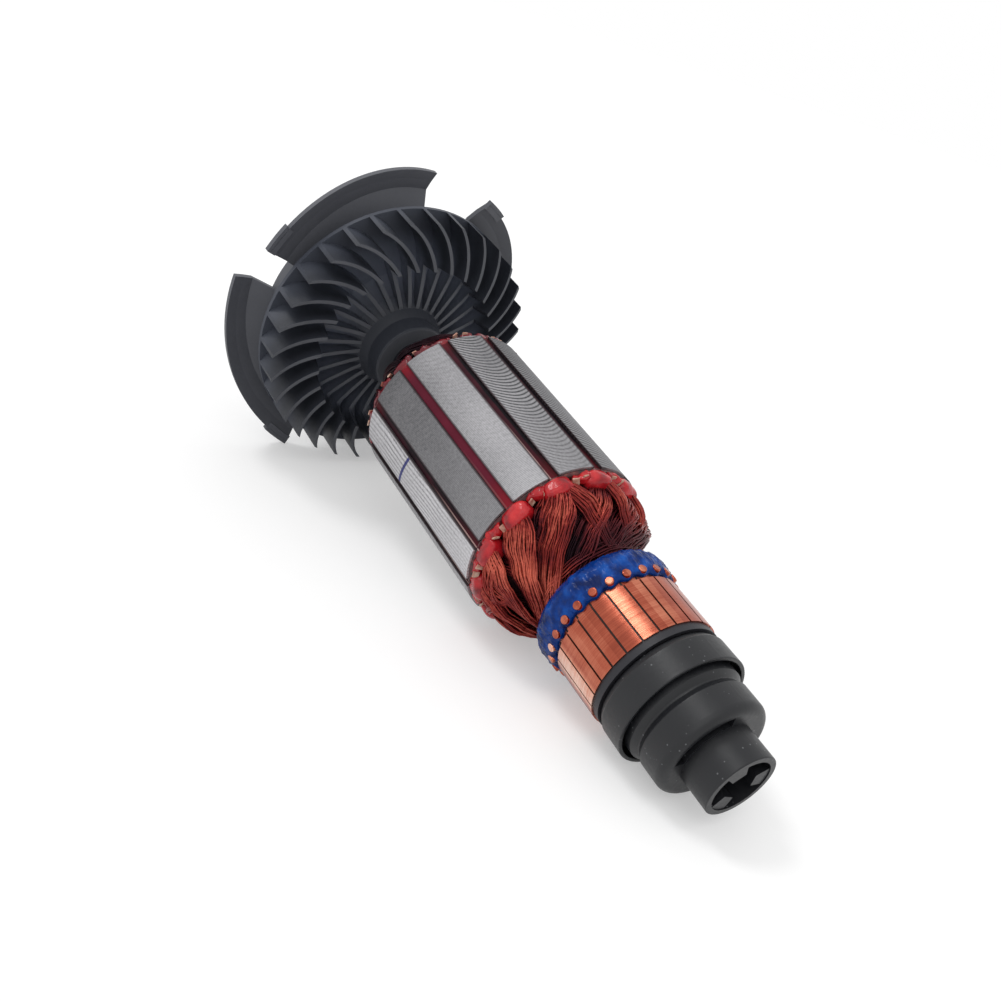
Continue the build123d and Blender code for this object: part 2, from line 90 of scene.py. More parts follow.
def polar(r, deg, z):
    """The point in metres at a radius and a height in mm."""
    a = math.radians(deg)
    return Vector((r * MM * math.cos(a), r * MM * math.sin(a), z * MM))


# Materials: node maths written as expressions

class Value:
    """A number, vector or colour on its way through a material's nodes."""

    def __init__(self, finish, socket):
        self.finish = finish
        self.socket = socket

    def maths(self, operation, *others):
        return self.finish.node("ShaderNodeMath", {"operation": operation}, self, *others)

    def __add__(self, other):
        return self.maths("ADD", other)

    def __sub__(self, other):
        return self.maths("SUBTRACT", other)

    def __rsub__(self, other):
        return self.finish.node("ShaderNodeMath", {"operation": "SUBTRACT"}, other, self)

    def __mul__(self, other):
        return self.maths("MULTIPLY", other)

    def __truediv__(self, other):
        return self.maths("DIVIDE", other)

    def __pow__(self, other):
        return self.maths("POWER", other)

    __radd__ = __add__
    __rmul__ = __mul__

    def sin(self):
        return self.maths("SINE")

    def whole(self):
        return self.maths("FLOOR")

    def part(self):
        return self.maths("FRACT")

    def size(self):
        return self.maths("ABSOLUTE")

    def least(self, other):
        return self.maths("MINIMUM", other)

    def most(self, other):
        return self.maths("MAXIMUM", other)

    def smooth(self, low, high):
        """0 below low, 1 above high, and a soft step between."""
        return self.finish.node("ShaderNodeMapRange", {"interpolation_type": "SMOOTHSTEP"},
                                self, low, high, 0.0, 1.0)

    def steps(self, values):
        """The value that a whole number picks from a list, over and over."""
        count = len(values)
        share = (self.maths("FLOORED_MODULO", count) + 0.5) / count
        picked = self.finish.ramp(share, [(i / count, (v, v, v)) for i, v in enumerate(values)])
        picked.socket.node.color_ramp.interpolation = "CONSTANT"
        return picked

    def ramp(self, *stops):
        """A colour ramp; each stop is (place, colour)."""
        return self.finish.ramp(self, stops)


class Finish:
    """One material, built around a Principled shader."""

    def __init__(self, name, color, roughness=0.5, metallic=0.0, **fixed):
        self.material = bpy.data.materials.new(name)
        self.material.use_nodes = True
        self.tree = self.material.node_tree
        self.shader = self.tree.nodes["Principled BSDF"]
        self.set("Base Color", color)
        self.set("Roughness", roughness)
        self.set("Metallic", metallic)
        for key, value in fixed.items():
            self.shader.inputs[key.replace("_", " ")].default_value = value
        self._place = None
        self._shaft = None

    def link(self, value, socket):
        if isinstance(value, Value):
            self.tree.links.new(value.socket, socket)
        elif socket.type == "RGBA" and isinstance(value, (tuple, list)):
            socket.default_value = (*value[:3], 1.0)
        else:
            socket.default_value = value

    def set(self, name, value):
        self.link(value, self.shader.inputs[name])

    def node(self, kind, settings, *inputs, out=0, **named):
        """A new node's output: settings first, then its inputs in order or by name."""
        made = self.tree.nodes.new(kind)
        for key, value in settings.items():
            setattr(made, key, value)
        free = [s for s in made.inputs if s.enabled]
        for socket, value in zip(free, inputs):
            self.link(value, socket)
        for key, value in named.items():
            self.link(value, made.inputs[key])
        shown = [s for s in made.outputs if s.enabled]
        return Value(self, shown[out])

    def ramp(self, value, stops):
        made = self.tree.nodes.new("ShaderNodeValToRGB")
        elements = made.color_ramp.elements
        elements.remove(elements[1])
        elements[0].position = stops[0][0]
        elements[0].color = (*stops[0][1], 1.0)
        for place, color in stops[1:]:
            elements.new(place).color = (*color, 1.0)
        self.link(value, made.inputs[0])
        return Value(self, made.outputs[0])

    def place(self):
        if self._place is None:
            made = self.tree.nodes.new("ShaderNodeTexCoord")
            self._place = Value(self, made.outputs["Object"])
        return self._place

    def dot(self, vector, direction):
        return self.node("ShaderNodeVectorMath", {"operation": "DOT_PRODUCT"}, vector, tuple(direction))

    def shaft(self):
        """Along the shaft in mm, angle round it in degrees, and distance from it in mm."""
        if self._shaft is None:
            away = self.node("ShaderNodeVectorMath", {"operation": "SUBTRACT"}, self.place(), tuple(START))
            z = self.dot(away, AXIS) * 1000.0
            x = self.dot(away, SIDE_X) * 1000.0
            y = self.dot(away, SIDE_Y) * 1000.0
            angle = self.node("ShaderNodeMath", {"operation": "ARCTAN2"}, y, x) * (180 / math.pi)
            self._shaft = (z, angle, (x * x + y * y) ** 0.5)
        return self._shaft

    def noise(self, scale, detail=3.0, vector=None):
        """Grain with so many features a metre, between 0 and 1."""
        vector = self.place() if vector is None else vector
        return self.node("ShaderNodeTexNoise", {}, Vector=vector, Scale=scale, Detail=detail)

    def spots(self, scale):
        """Distance to the nearest of many scattered points."""
        return self.node("ShaderNodeTexVoronoi", {}, Vector=self.place(), Scale=scale)

    def vector(self, x, y, z):
        return self.node("ShaderNodeCombineXYZ", {}, x, y, z)

    def mix(self, share, low, high):
        made = self.tree.nodes.new("ShaderNodeMix")
        made.data_type = "RGBA"
        self.link(share, made.inputs[0])
        self.link(low, made.inputs[6])
        self.link(high, made.inputs[7])
        return Value(self, made.outputs[2])

    def bump(self, height, strength=0.5, distance=0.0002):
        made = self.tree.nodes.new("ShaderNodeBump")
        made.inputs["Strength"].default_value = strength
        made.inputs["Distance"].default_value = distance
        self.link(height, made.inputs["Height"])
        self.tree.links.new(made.outputs["Normal"], self.shader.inputs["Normal"])


def near(value, centre, half_width):
    """1 at the centre and 0 from half_width away."""
    return 1.0 - ((value - centre).size() / half_width).least(1.0)


# The steel of the teeth. A table has a value for each tooth from slot 1 on, and the teeth that the
# photograph doesn't show are plain: how bright the tooth is, which is painted light and shade, how
# clear its faint bowed lines are, how many lines cross a mm of its length, how much they lean across
# it, and how far they bow.
TOOTH_PAINTED_LIGHT = (0.44, 0.50, 0.37, 0.85, 0.55, 0.50, 0.55, 0.47, 0.53, 0.50, 0.55, 0.34)
ARC_SHARES = (0.50, 0.05, 0.02, 0.62, 0.20, 0.10, 0.20, 0.10, 0.20, 0.10, 0.20, 0.80)
ARCS_ALONG = (0.66, 0.50, 0.50, 0.03, 0.40, 0.40, 0.40, 0.40, 0.40, 0.40, 0.40, 0.75)
ARCS_ACROSS = (0.16, 0.30, 0.30, 0.62, 0.20, 0.20, 0.20, 0.20, 0.20, 0.20, 0.20, 0.08)
ARC_BOWS = (1.00, 0.80, 0.80, 1.00, 0.70, 0.80, 0.60, 0.80, 0.70, 0.80, 0.60, 0.12)
SHEET_PITCH = 0.5
# The dark strip beside a slot, partly the liner's edge and partly painted shade, fades out between these distances
# from the slot's middle
LINER_AND_SHADE_EDGE = (1.45, 2.0)
# A blue pen stroke crosses one tooth; its slant is in mm for each degree
PEN_DEG = 107.0
PEN_Z = -40.6
PEN_SLANT = -0.13
PEN_HALF_WIDTH = 0.95
PEN_HALF_ARC = 14.5


def bowed_lines(m, z, tooth, which):
    """Brighter and darker than 0 along the faint lines of a tooth."""
    along = which.steps(ARCS_ALONG)
    bow = tooth * tooth * along * which.steps(ARC_BOWS) * 5.0
    drift = m.noise(32.0, 1.0) * 2.4 + m.noise(140.0, 1.0) * 0.35
    spread = which.steps(ARCS_ACROSS) * 8.0 * (z * 0.006 + 1.2)
    phase = z * along + tooth * spread + bow + drift
    arcs = (phase * (2 * math.pi)).sin()
    patches = m.noise(40.0, 1.0).smooth(0.30, 0.62) * 0.6 + 0.4
    to_back = (z * -1.0).smooth(8.0, 36.0) * 0.6 + 0.4
    return (0.32 - (0.5 - arcs * 0.5) ** 2.2) * (patches * to_back) * which.steps(ARC_SHARES)


def pen_stroke(z, angle):
    middle = (angle - PEN_DEG) * PEN_SLANT + PEN_Z
    across = near(z, middle, PEN_HALF_WIDTH).smooth(0.2, 0.6)
    return across * near(angle, PEN_DEG, PEN_HALF_ARC).smooth(0.0, 0.12)


def lamination_steel():
    m = Finish("lamination_steel", (0.3, 0.3, 0.3), 0.5, 0.85)
    z, angle, _ = m.shaft()
    turn = (angle + 360.0) / SLOT_PITCH
    tooth = turn.part() * 2.0 - 1.0
    which = turn.whole()
    sheets = (z * (2 * math.pi / SHEET_PITCH)).sin()
    grain = m.noise(1500.0, 2.0)
    cloud = m.noise(60.0, 2.0)
    # The teeth darken towards the back of the stack: painted shade.
    painted_shade_to_back = (z * -0.016).least(1.0).most(0.0)
    # Each tooth's brightness from the table is painted light and shade.
    piece_tone = which.steps(TOOTH_PAINTED_LIGHT)
    tone = piece_tone + (grain - 0.5) * (piece_tone * 0.75) + cloud * 0.16 + sheets * (piece_tone * 0.2)
    tone = tone - 0.15 - painted_shade_to_back * 0.14 + bowed_lines(m, z, tooth, which)
    base = m.mix(tone, (0.05, 0.05, 0.055), (0.68, 0.67, 0.69))
    base = m.mix(pen_stroke(z, angle) * 0.9, base, (0.010, 0.016, 0.16))
    beside = (0.5 - tooth * 0.5).least(tooth * 0.5 + 0.5) * (math.radians(SLOT_PITCH) * STACK_R)
    # Dark strip along each slot's edges: partly the liner's edge, partly painted shade.
    liner_and_shade = (1.0 - beside.smooth(*LINER_AND_SHADE_EDGE)) * 0.85
    base = m.mix(liner_and_shade, base, (0.030, 0.012, 0.016))
    m.set("Base Color", base)
    m.set("Roughness", grain * 0.14 + 0.54)
    m.bump(sheets * 0.6 + grain * 0.5, 0.3, 0.00004)
    return m.material


# The stretch of shaft between the stack and the fan is darkened with painted shade, and made rougher
SHADED_SHAFT_Z = -85.0
SHADED_SHAFT_HALF = 8.0


def shaft_steel():
    m = Finish("shaft_steel", (0.5, 0.5, 0.51), 0.25, 1.0)
    z = m.shaft()[0]
    # Painted shade on the shaft between the stack and the fan.
    shaded_band = near(z, SHADED_SHAFT_Z, SHADED_SHAFT_HALF).smooth(0.0, 0.3)
    m.set("Base Color", m.mix(shaded_band, (0.5, 0.5, 0.51), (0.05, 0.052, 0.062)))
    m.set("Roughness", m.noise(500.0, 3.0) * 0.15 + 0.18 + shaded_band * 0.25)
    m.bump((z * 40.0).sin(), 0.15, 0.00002)
    return m.material


# Painted highlights on the bars: the angle, how far each highlight reaches, where it is full, and its strength
BAR_GLARE = ((114.0, 15.0, 0.5, 0.36), (41.0, 11.0, 0.8, 0.14))


def bar_copper():
    m = Finish("bar_copper", (0.5, 0.14, 0.08), 0.32, 1.0, Coat_Weight=0.25, Coat_Roughness=0.28)
    z, angle, _ = m.shaft()
    lines = m.noise(1.0, 2.0, vector=m.vector(z * 5.0, angle * 0.012, 0.0))
    blotch = m.noise(170.0, 3.0)
    which = ((angle + (360.0 + BAR_PITCH / 2)) / BAR_PITCH).whole()
    piece_tone = m.node("ShaderNodeTexWhiteNoise", {"noise_dimensions": "1D"}, which)
    tone = lines * 0.45 + blotch * 0.35 + piece_tone * 0.25
    # Painted highlights where the lamps glare on the bars.
    for middle, reach, full, strength in BAR_GLARE:
        tone = tone + near(angle, middle, reach).smooth(0.0, full) * strength
    m.set("Base Color", tone.ramp((0.28, (0.20, 0.032, 0.017)), (0.5, (0.38, 0.082, 0.044)),
                                  (0.78, (0.68, 0.25, 0.15)), (1.0, (0.88, 0.60, 0.48))))
    m.set("Roughness", blotch * 0.2 + 0.18)
    m.bump(lines, 0.3, 0.00005)
    return m.material


def wire_copper():
    """Enamelled wire, with painted shade where it lies deep, at the back and in the hollow by the neck, and
    painted light where the lamp meets it.
    """
    m = Finish("winding_copper", (0.40, 0.10, 0.06), 0.32, 0.5, Specular_IOR_Level=0.2)
    z, angle, r = m.shaft()
    grain = m.noise(150.0, 3.0)
    fine = m.noise(1100.0, 2.0)
    # Wires that lie deeper than the outside of the head get painted shade.
    outside = (24.9 - (z - 6.0).most(0.0) * 0.62).most(15.6)
    high = (r - outside).smooth(-3.0, 0.3)
    # Painted light where the lamp meets the wires.
    painted_lamp_light = near(angle, 84.0, 22.0).smooth(0.0, 0.8)
    # Painted shade on the back head and in the hollow by the neck.
    back = (z * -1.0).smooth(60.0, 64.0)
    painted_hollow_shade = z.smooth(10.0, 17.0) * (1.0 - angle.smooth(38.0, 62.0)) * angle.smooth(-70.0, -30.0)
    tone = grain * 0.55 + fine * 0.35 + high * 0.42 - 0.20 + painted_lamp_light * 0.14
    tone = tone - back * 0.15 - painted_hollow_shade * 0.30
    m.set("Base Color", tone.ramp((0.16, (0.016, 0.004, 0.008)), (0.44, (0.085, 0.010, 0.014)),
                                  (0.64, (0.25, 0.027, 0.022)), (0.92, (0.64, 0.14, 0.09))))
    return m.material


def winding_core():
    # Near-black: painted shade for the wires deep inside the head.
    m = Finish("winding_core", (0.012, 0.006, 0.008), 0.5, Specular_IOR_Level=0.2)
    grain = m.noise(400.0, 3.0)
    m.set("Base Color", m.mix(grain, (0.006, 0.005, 0.008), (0.035, 0.010, 0.010)))
    m.bump(grain, 0.6, 0.0004)
    return m.material


def red_resin():
    """Glossy red, with painted shade at the back of the stack."""
    m = Finish("red_insulation", (0.62, 0.02, 0.02), 0.22, 0.0, Specular_IOR_Level=0.38)
    back = m.shaft()[0] * -1.0
    # Painted shade: the resin darkens at the back of the stack.
    grain = m.noise(260.0, 3.0) - back.smooth(60.0, 63.0) * 0.14
    red = grain.ramp((0.3, (0.17, 0.004, 0.008)), (0.5, (0.45, 0.010, 0.016)), (0.7, (0.62, 0.030, 0.033)))
    m.set("Base Color", m.mix(back.smooth(61.5, 63.5) * 0.75, red, (0.10, 0.006, 0.014)))
    m.bump(m.noise(700.0, 3.0), 0.5, 0.0003)
    return m.material


def end_plate_board():
    """The board on each end of the stack, darkened with painted shade where it shows between the lobes."""
    # Dark base colour: painted shade for the gaps between the resin lobes.
    m = Finish("end_plate_board", (0.05, 0.01, 0.01), 0.4)
    grain = m.noise(600.0, 3.0)
    m.set("Base Color", grain.ramp((0.35, (0.020, 0.004, 0.005)), (0.55, (0.09, 0.012, 0.014)),
                                   (0.75, (0.20, 0.07, 0.05))))
    m.bump(grain, 0.4, 0.0002)
    return m.material


# Tone of each slot's closing strip from slot 1 on
WEDGE_TONES = (0.18, 0.26, 0.85, 0.14, 0.05, 0.40, 0.30, 0.50, 0.30, 0.40, 0.30, 0.20)


def wedge_strip():
    """Maroon or nearly black, redder at both ends, with a pale streak near the front."""
    m = Finish("wedge_strip", (0.05, 0.008, 0.01), 0.4, 0.0, Specular_IOR_Level=0.07)
    z, angle, _ = m.shaft()
    turn = (angle + (360.0 + SLOT_PITCH / 2)) / SLOT_PITCH
    off = turn.part() * SLOT_PITCH - SLOT_PITCH / 2
    piece_tone = turn.whole().steps(WEDGE_TONES)
    grain = m.noise(90.0, 3.0)
    ends = z.smooth(-14.0, 1.0) + (z * -1.0).smooth(56.0, 63.0)
    tone = grain * 0.6 + piece_tone * 0.75 - 0.32 - (off * -1.0).smooth(0.2, 1.6) * (0.35 - piece_tone * 0.4)
    base = m.mix(tone, (0.004, 0.002, 0.004), (0.175, 0.017, 0.038))
    base = m.mix(ends * (piece_tone * 0.6 + 0.08), base, (0.28, 0.012, 0.018))
    streak = near(off, 2.0, 0.8).smooth(0.1, 0.7) * z.smooth(-30.0, -6.0)
    pale = streak * (1.0 - piece_tone) * grain.smooth(0.25, 0.45)
    m.set("Base Color", m.mix(pale, base, (0.50, 0.33, 0.31)))
    m.bump(m.noise(500.0, 2.0), 0.4, 0.0002)
    return m.material


def insulation_paper():
    m = Finish("insulation_paper", (0.62, 0.42, 0.30), 0.6, Coat_Weight=0.2)
    grain = m.noise(500.0, 3.0)
    m.set("Base Color", grain.ramp((0.3, (0.28, 0.05, 0.04)), (0.5, (0.55, 0.30, 0.22)),
                                   (0.7, (0.72, 0.56, 0.44))))
    return m.material


# The moulding is brown behind the front edge of the bars and black in front of it
BAR_EDGE = (48.8, 49.1)


def commutator_resin():
    m = Finish("commutator_resin", (0.05, 0.022, 0.014), 0.45, Specular_IOR_Level=0.3)
    front = m.shaft()[0].smooth(*BAR_EDGE)
    m.set("Base Color", m.mix(front, (0.022, 0.006, 0.004), (0.024, 0.024, 0.029)))
    m.bump(m.noise(900.0, 2.0), 0.2, 0.0001)
    return m.material


def blue_lacquer():
    m = Finish("blue_lacquer", (0.004, 0.03, 0.2), 0.25, 0.0, Specular_IOR_Level=0.15)
    grain = m.noise(260.0, 3.0)
    m.set("Base Color", grain.ramp((0.35, (0.001, 0.012, 0.085)), (0.52, (0.001, 0.034, 0.21)),
                                   (0.72, (0.006, 0.085, 0.40))))
    m.bump(m.noise(300.0, 2.0), 0.8, 0.0010)
    return m.material


def black_plastic(name, low, high, roughness, grain_scale, dusty, edge_z=None, lifted=1.0, gloss=0.3):
    """Moulded black plastic or rubber with fine grain and pale dust.

    Faces that look along the shaft get a painted highlight within edge_z, and what lies deep between the
    fan's blades gets painted light that lifts it out of the shade.
    """
    m = Finish(name, low, roughness, Specular_IOR_Level=gloss)
    z, _, r = m.shaft()
    grain = m.noise(grain_scale, 4.0)
    cloud = m.noise(70.0, 2.0)
    base = m.mix(grain * 0.4 + cloud * 0.6, low, high)
    if lifted != 1.0:
        # Painted light deep between the fan's blades.
        deep = (z * -1.0).smooth(98.0, 106.0) * r.smooth(12.0, 16.0) * (1.0 - r.smooth(30.0, 40.0) * 0.8)
        base = m.mix(deep, base, tuple(c * lifted for c in high))
    if edge_z is not None:
        # Painted highlight on faces that look along the shaft.
        facing = m.node("ShaderNodeNewGeometry", {}, out=1)
        front = m.dot(facing, AXIS).smooth(0.80, 0.97) * z.smooth(*edge_z)
        base = m.mix(front * (cloud * 0.6 + 0.25), base, (0.125, 0.13, 0.145))
    dust = (m.spots(600.0) * -1.0 + 0.15).most(0.0) * 9.0 * m.noise(150.0, 2.0).smooth(0.50, 0.62)
    base = m.mix((dust * dusty).least(0.6), base, (0.16, 0.165, 0.175))
    m.set("Base Color", base)
    m.set("Roughness", grain * 0.2 + (roughness - 0.1))
    m.bump(grain, 0.25, 0.0001)
    return m.material


def bearing_steel():
    m = Finish("bearing_steel", (0.55, 0.55, 0.56), 0.16, 1.0)
    m.set("Roughness", m.noise(300.0, 3.0) * 0.15 + 0.1)
    return m.material


def plain_plastic(name, color, roughness):
    m = Finish(name, color, roughness)
    grain = m.noise(500.0, 3.0)
    m.set("Base Color", m.mix(grain, tuple(c * 0.8 for c in color), tuple(c * 1.2 for c in color)))
    m.bump(grain, 0.2, 0.0001)
    return m.material


materials = {
    "lamination_steel": lamination_steel(),
    "shaft_steel": shaft_steel(),
    "bar_copper": bar_copper(),
    "winding_copper": wire_copper(),
    "winding_core": winding_core(),
    "red_insulation": red_resin(),
    "end_plate_board": end_plate_board(),
    "wedge_strip": wedge_strip(),
    "insulation_paper": insulation_paper(),
    "commutator_resin": commutator_resin(),
    "blue_lacquer": blue_lacquer(),
    "boot_rubber": black_plastic("boot_rubber", (0.004, 0.0045, 0.006), (0.012, 0.013, 0.016),
                                 roughness=0.42, grain_scale=900.0, dusty=1.6, gloss=0.42),
    "seal_rubber": black_plastic("seal_rubber", (0.007, 0.0075, 0.009), (0.02, 0.021, 0.024),
                                 roughness=0.5, grain_scale=900.0, dusty=0.1),
    "fan_plastic": black_plastic("fan_plastic", (0.020, 0.022, 0.029), (0.034, 0.038, 0.049),
                                 roughness=0.5, grain_scale=1200.0, dusty=0.1,
                                 edge_z=(-103.5, -99.5), lifted=5.0),
    "baffle_plastic": black_plastic("baffle_plastic", (0.072, 0.075, 0.088), (0.112, 0.116, 0.132),
                                    roughness=0.5, grain_scale=1000.0, dusty=0.2),
    "bearing_steel": bearing_steel(),
    "cage_plastic": plain_plastic("cage_plastic", (0.45, 0.42, 0.33), 0.5),
    "insulation_sleeve": plain_plastic("insulation_sleeve", (0.03, 0.025, 0.025), 0.6),
}


def dress_cad():
    """Every CAD piece gets the finish of its record slot."""
    slots = {s["node"]: s["material_slot"] for s in frame["record"]["subparts"]}
    for name, obj in frame["nodes"].items():
        finish = materials[slots[name]]
        if not obj.material_slots:
            obj.data.materials.append(finish)
        for place in obj.material_slots:
            place.material = finish


def piece(name, mesh, body, slot, *replaced, smooth=True):
    """Lays a mesh made in the shaft's frame in its place and rides it on its body."""
    mesh.transform(SHAFT)
    mesh.update()
    obj = bpy.data.objects.new(name, mesh)
    bpy.context.collection.objects.link(obj)
    mesh.materials.clear()
    mesh.materials.append(materials[slot])
    if smooth:
        mesh.shade_smooth()
    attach(obj, body)
    if replaced:
        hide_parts(*replaced)


# Repeats: geometry nodes that set a mesh round the shaft, push it about and give it its finish

def named_inputs(tree, *inputs):
    tree.interface.new_socket("Geometry", in_out="INPUT", socket_type="NodeSocketGeometry")
    for name, kind, value in inputs:
        made = tree.interface.new_socket(name, in_out="INPUT", socket_type="NodeSocket" + kind)
        if value is not None:
            made.default_value = value
    tree.interface.new_socket("Geometry", in_out="OUTPUT", socket_type="NodeSocketGeometry")


def round_shaft_tree(name, wires):
    """Copies of the mesh round the z axis; wires turns its edges into round wire."""
    tree = bpy.data.node_groups.new(name, "GeometryNodeTree")
    named_inputs(tree, ("Count", "Int", SLOTS), ("Turn Jitter", "Float", 0.0), ("Lumps", "Float", 0.0),
                 ("Lump Scale", "Float", 300.0), ("Wire Radius", "Float", 0.0003), ("Seed", "Int", 1),
                 ("Material", "Material", None))
    links = tree.links
    given = tree.nodes.new("NodeGroupInput").outputs

    def node(kind, settings, *inputs, **named):
        made = tree.nodes.new(kind)
        for key, value in settings.items():
            setattr(made, key, value)
        for key, value in (*enumerate(inputs), *named.items()):
            if isinstance(value, bpy.types.NodeSocket):
                links.new(value, made.inputs[key])
            else:
                made.inputs[key].default_value = value
        return made

    def maths(operation, *values):
        return node("ShaderNodeMath", {"operation": operation}, *values).outputs[0]

    points = node("GeometryNodePoints", {}, Count=given["Count"], Radius=0.0001)
    index = node("GeometryNodeInputIndex", {}).outputs[0]
    step = maths("DIVIDE", 2 * math.pi, given["Count"])
    dice = node("FunctionNodeRandomValue", {"data_type": "FLOAT"}, Seed=given["Seed"])
    links.new(maths("MULTIPLY", given["Turn Jitter"], -1.0), dice.inputs[2])
    links.new(given["Turn Jitter"], dice.inputs[3])
    turn = maths("MULTIPLY_ADD", index, step, dice.outputs[1])
    rotation = node("ShaderNodeCombineXYZ", {}, Z=turn)
    copies = node("GeometryNodeInstanceOnPoints", {}, Points=points.outputs[0], Instance=given["Geometry"],
                  Rotation=rotation.outputs[0])
    real = node("GeometryNodeRealizeInstances", {}, Geometry=copies.outputs[0])
    place = node("GeometryNodeInputPosition", {})
    grain = node("ShaderNodeTexNoise", {"noise_dimensions": "4D"}, Vector=place.outputs[0], W=given["Seed"],
                 Scale=given["Lump Scale"], Detail=1.0)
    centred = node("ShaderNodeVectorMath", {"operation": "SUBTRACT"}, grain.outputs["Color"], (0.5, 0.5, 0.5))
    push = node("ShaderNodeVectorMath", {"operation": "SCALE"}, centred.outputs[0], Scale=given["Lumps"])
    shape = node("GeometryNodeSetPosition", {}, Geometry=real.outputs[0], Offset=push.outputs[0])
    if wires:
        line = node("GeometryNodeMeshToCurve", {}, Mesh=shape.outputs[0])
        ring = node("GeometryNodeCurvePrimitiveCircle", {}, Resolution=6, Radius=given["Wire Radius"])
        shape = node("GeometryNodeCurveToMesh", {}, Curve=line.outputs[0])
        links.new(ring.outputs[0], shape.inputs["Profile Curve"])
    smooth = node("GeometryNodeSetShadeSmooth", {}, Geometry=shape.outputs[0])
    coated = node("GeometryNodeSetMaterial", {}, Geometry=smooth.outputs[0], Material=given["Material"])
    links.new(coated.outputs[0], tree.nodes.new("NodeGroupOutput").inputs[0])
    return tree


WIRES_TREE = round_shaft_tree("wires_round_shaft", True)
LUMPS_TREE = round_shaft_tree("lumps_round_shaft", False)


def set_round(name, template, tree, slot, **sizes):
    """The evaluated result of a tree on a template mesh, as a plain mesh."""
    obj = bpy.data.objects.new(name + "_template", template)
    bpy.context.collection.objects.link(obj)
    changed = obj.modifiers.new("round_shaft", "NODES")
    changed.node_group = tree
    sockets = {item.name: item.identifier for item in tree.interface.items_tree if item.in_out == "INPUT"}
    sizes["Material"] = materials[slot]
    for key, value in sizes.items():
        changed[sockets[key.replace("_", " ")]] = value
    seen = obj.evaluated_get(bpy.context.evaluated_depsgraph_get())
    mesh = bpy.data.meshes.new_from_object(seen)
    mesh.name = name
    obj.modifiers.remove(changed)
    bpy.data.objects.remove(obj)
    return mesh


# Wires: a bundle is a list of paths, each a list of points in the shaft's frame

def straight(table, x):
    """The value at x between the points of a table of (x, value)."""
    for (x0, y0), (x1, y1) in zip(table, table[1:]):
        if x <= x1:
            return y0 + (y1 - y0) * (x - x0) / (x1 - x0)
    return table[-1][1]


def shares(steps):
    """Evenly spaced shares of a length, from 0 to 1."""
    return [i / steps for i in range(steps + 1)]


# Radius of the outside of each winding head at a distance from the end of the stack
FRONT_SHAPE = [(0.0, 24.6), (3.0, 25.3), (5.5, 25.2), (7.5, 24.9), (9.5, 24.0), (11.5, 21.9),
               (13.0, 21.0), (15.0, 19.0), (16.8, 17.4), (18.5, 16.4), (20.5, 15.9), (24.0, 15.7)]
BACK_SHAPE = [(0.0, 24.2), (3.0, 23.9), (6.0, 22.9), (9.0, 20.9), (12.0, 18.6), (15.0, 16.0),
              (17.3, 13.2), (18.2, 11.0)]
# How far in degrees a bundle has turned from its slot at that distance
LEANING = [(1.5, 1.0), (4.5, 4.0), (7.5, 9.0), (10.8, 19.0), (14.3, 34.0), (17.2, 50.0),
           (19.3, 64.0), (21.8, 80.0)]
CROSSING = [(1.5, -3.0), (4.0, -7.0), (10.0, -14.0), (16.0, -21.5), (21.8, -29.0)]
# Slots with a crossing bundle on top of the leaning one, and those where the leaning one lies deeper
CROSSED_SLOTS = (0, 1, 11, 6, 7)
SUNK_SLOTS = (0, 11, 6)
# How much deeper each row of a bundle lies than the one before
ROW_DEPTH = 0.51
# Loose wires that cross the bundles: (angle, z) where each group starts and ends, and how many
LOOSE_WIRES = [((92, 6.0), (128, 10.5), 5), ((100, 4.5), (118, 12.0), 5), ((140, 5.0), (112, 12.5), 5),
               ((108, 9.0), (140, 15.0), 4), ((236, 6.0), (262, 13.0), 4), ((300, 7.0), (278, 13.0), 4)]


def bundle(start, turning, shape, width, wires, rows, sunk, seed, z_from=1.8, z_to=21.8):
    """Wires of one bundle, side by side in rows, from its slot to the neck of the winding.

    The bundle fans out as it leaves the slot and narrows again towards the neck. Its outer wires
    sag, each wire weaves a little, and the width is laid square to the way the bundle runs.
    """
    dice = random.Random(seed)
    paths = []
    for row in range(rows):
        for w in range(wires):
            side = (w + 0.5 * (row % 2) - (wires - 1) / 2) / wires
            side += dice.uniform(-0.03, 0.03)
            wave = dice.uniform(0, 6.28)
            beat = dice.uniform(0.7, 1.6)
            lift = dice.uniform(-0.16, 0.16)
            path = []
            for t in shares(24):
                z = z_from + (z_to - z_from) * t
                deg = straight(turning, z)
                ahead = straight(turning, z + 0.5) - deg
                r = straight(shape, z)
                slant = math.atan2(math.radians(ahead) * r, 0.5)
                fanned = width * (0.55 + 0.45 * min(t * 3.2, 1.0)) * (1.0 - 0.28 * max(t - 0.6, 0) / 0.4)
                across = (side + 0.05 * math.sin(wave + 8 * beat * t)) * fanned
                sag = (2 * side) ** 2 * min(1.0, 4 * t + 0.2)
                depth = sunk + row * ROW_DEPTH + sag + lift * math.sin(wave * 2 + 5 * t)
                z_here = z - across * math.sin(slant)
                deg_here = start + deg + math.degrees(across * math.cos(slant) / max(r, 8))
                path.append(polar(r - depth, deg_here, z_here))
            paths.append(path)
    return paths


def neck_wires(z, r, start, arc, rise, count, seed):
    """Wires that hug the neck, almost square to the shaft."""
    dice = random.Random(seed)
    paths = []
    for w in range(count):
        first = start + dice.uniform(-12, 12)
        wave = dice.uniform(0, 6.28)
        path = []
        for t in shares(25):
            lift = 0.25 * math.sin(wave + 6 * t)
            r_here = r - 0.35 * w % 1.0 + lift * 0.5
            path.append(polar(r_here, first + arc * t, z + w * 0.52 + rise * t + lift))
        paths.append(path)
    return paths


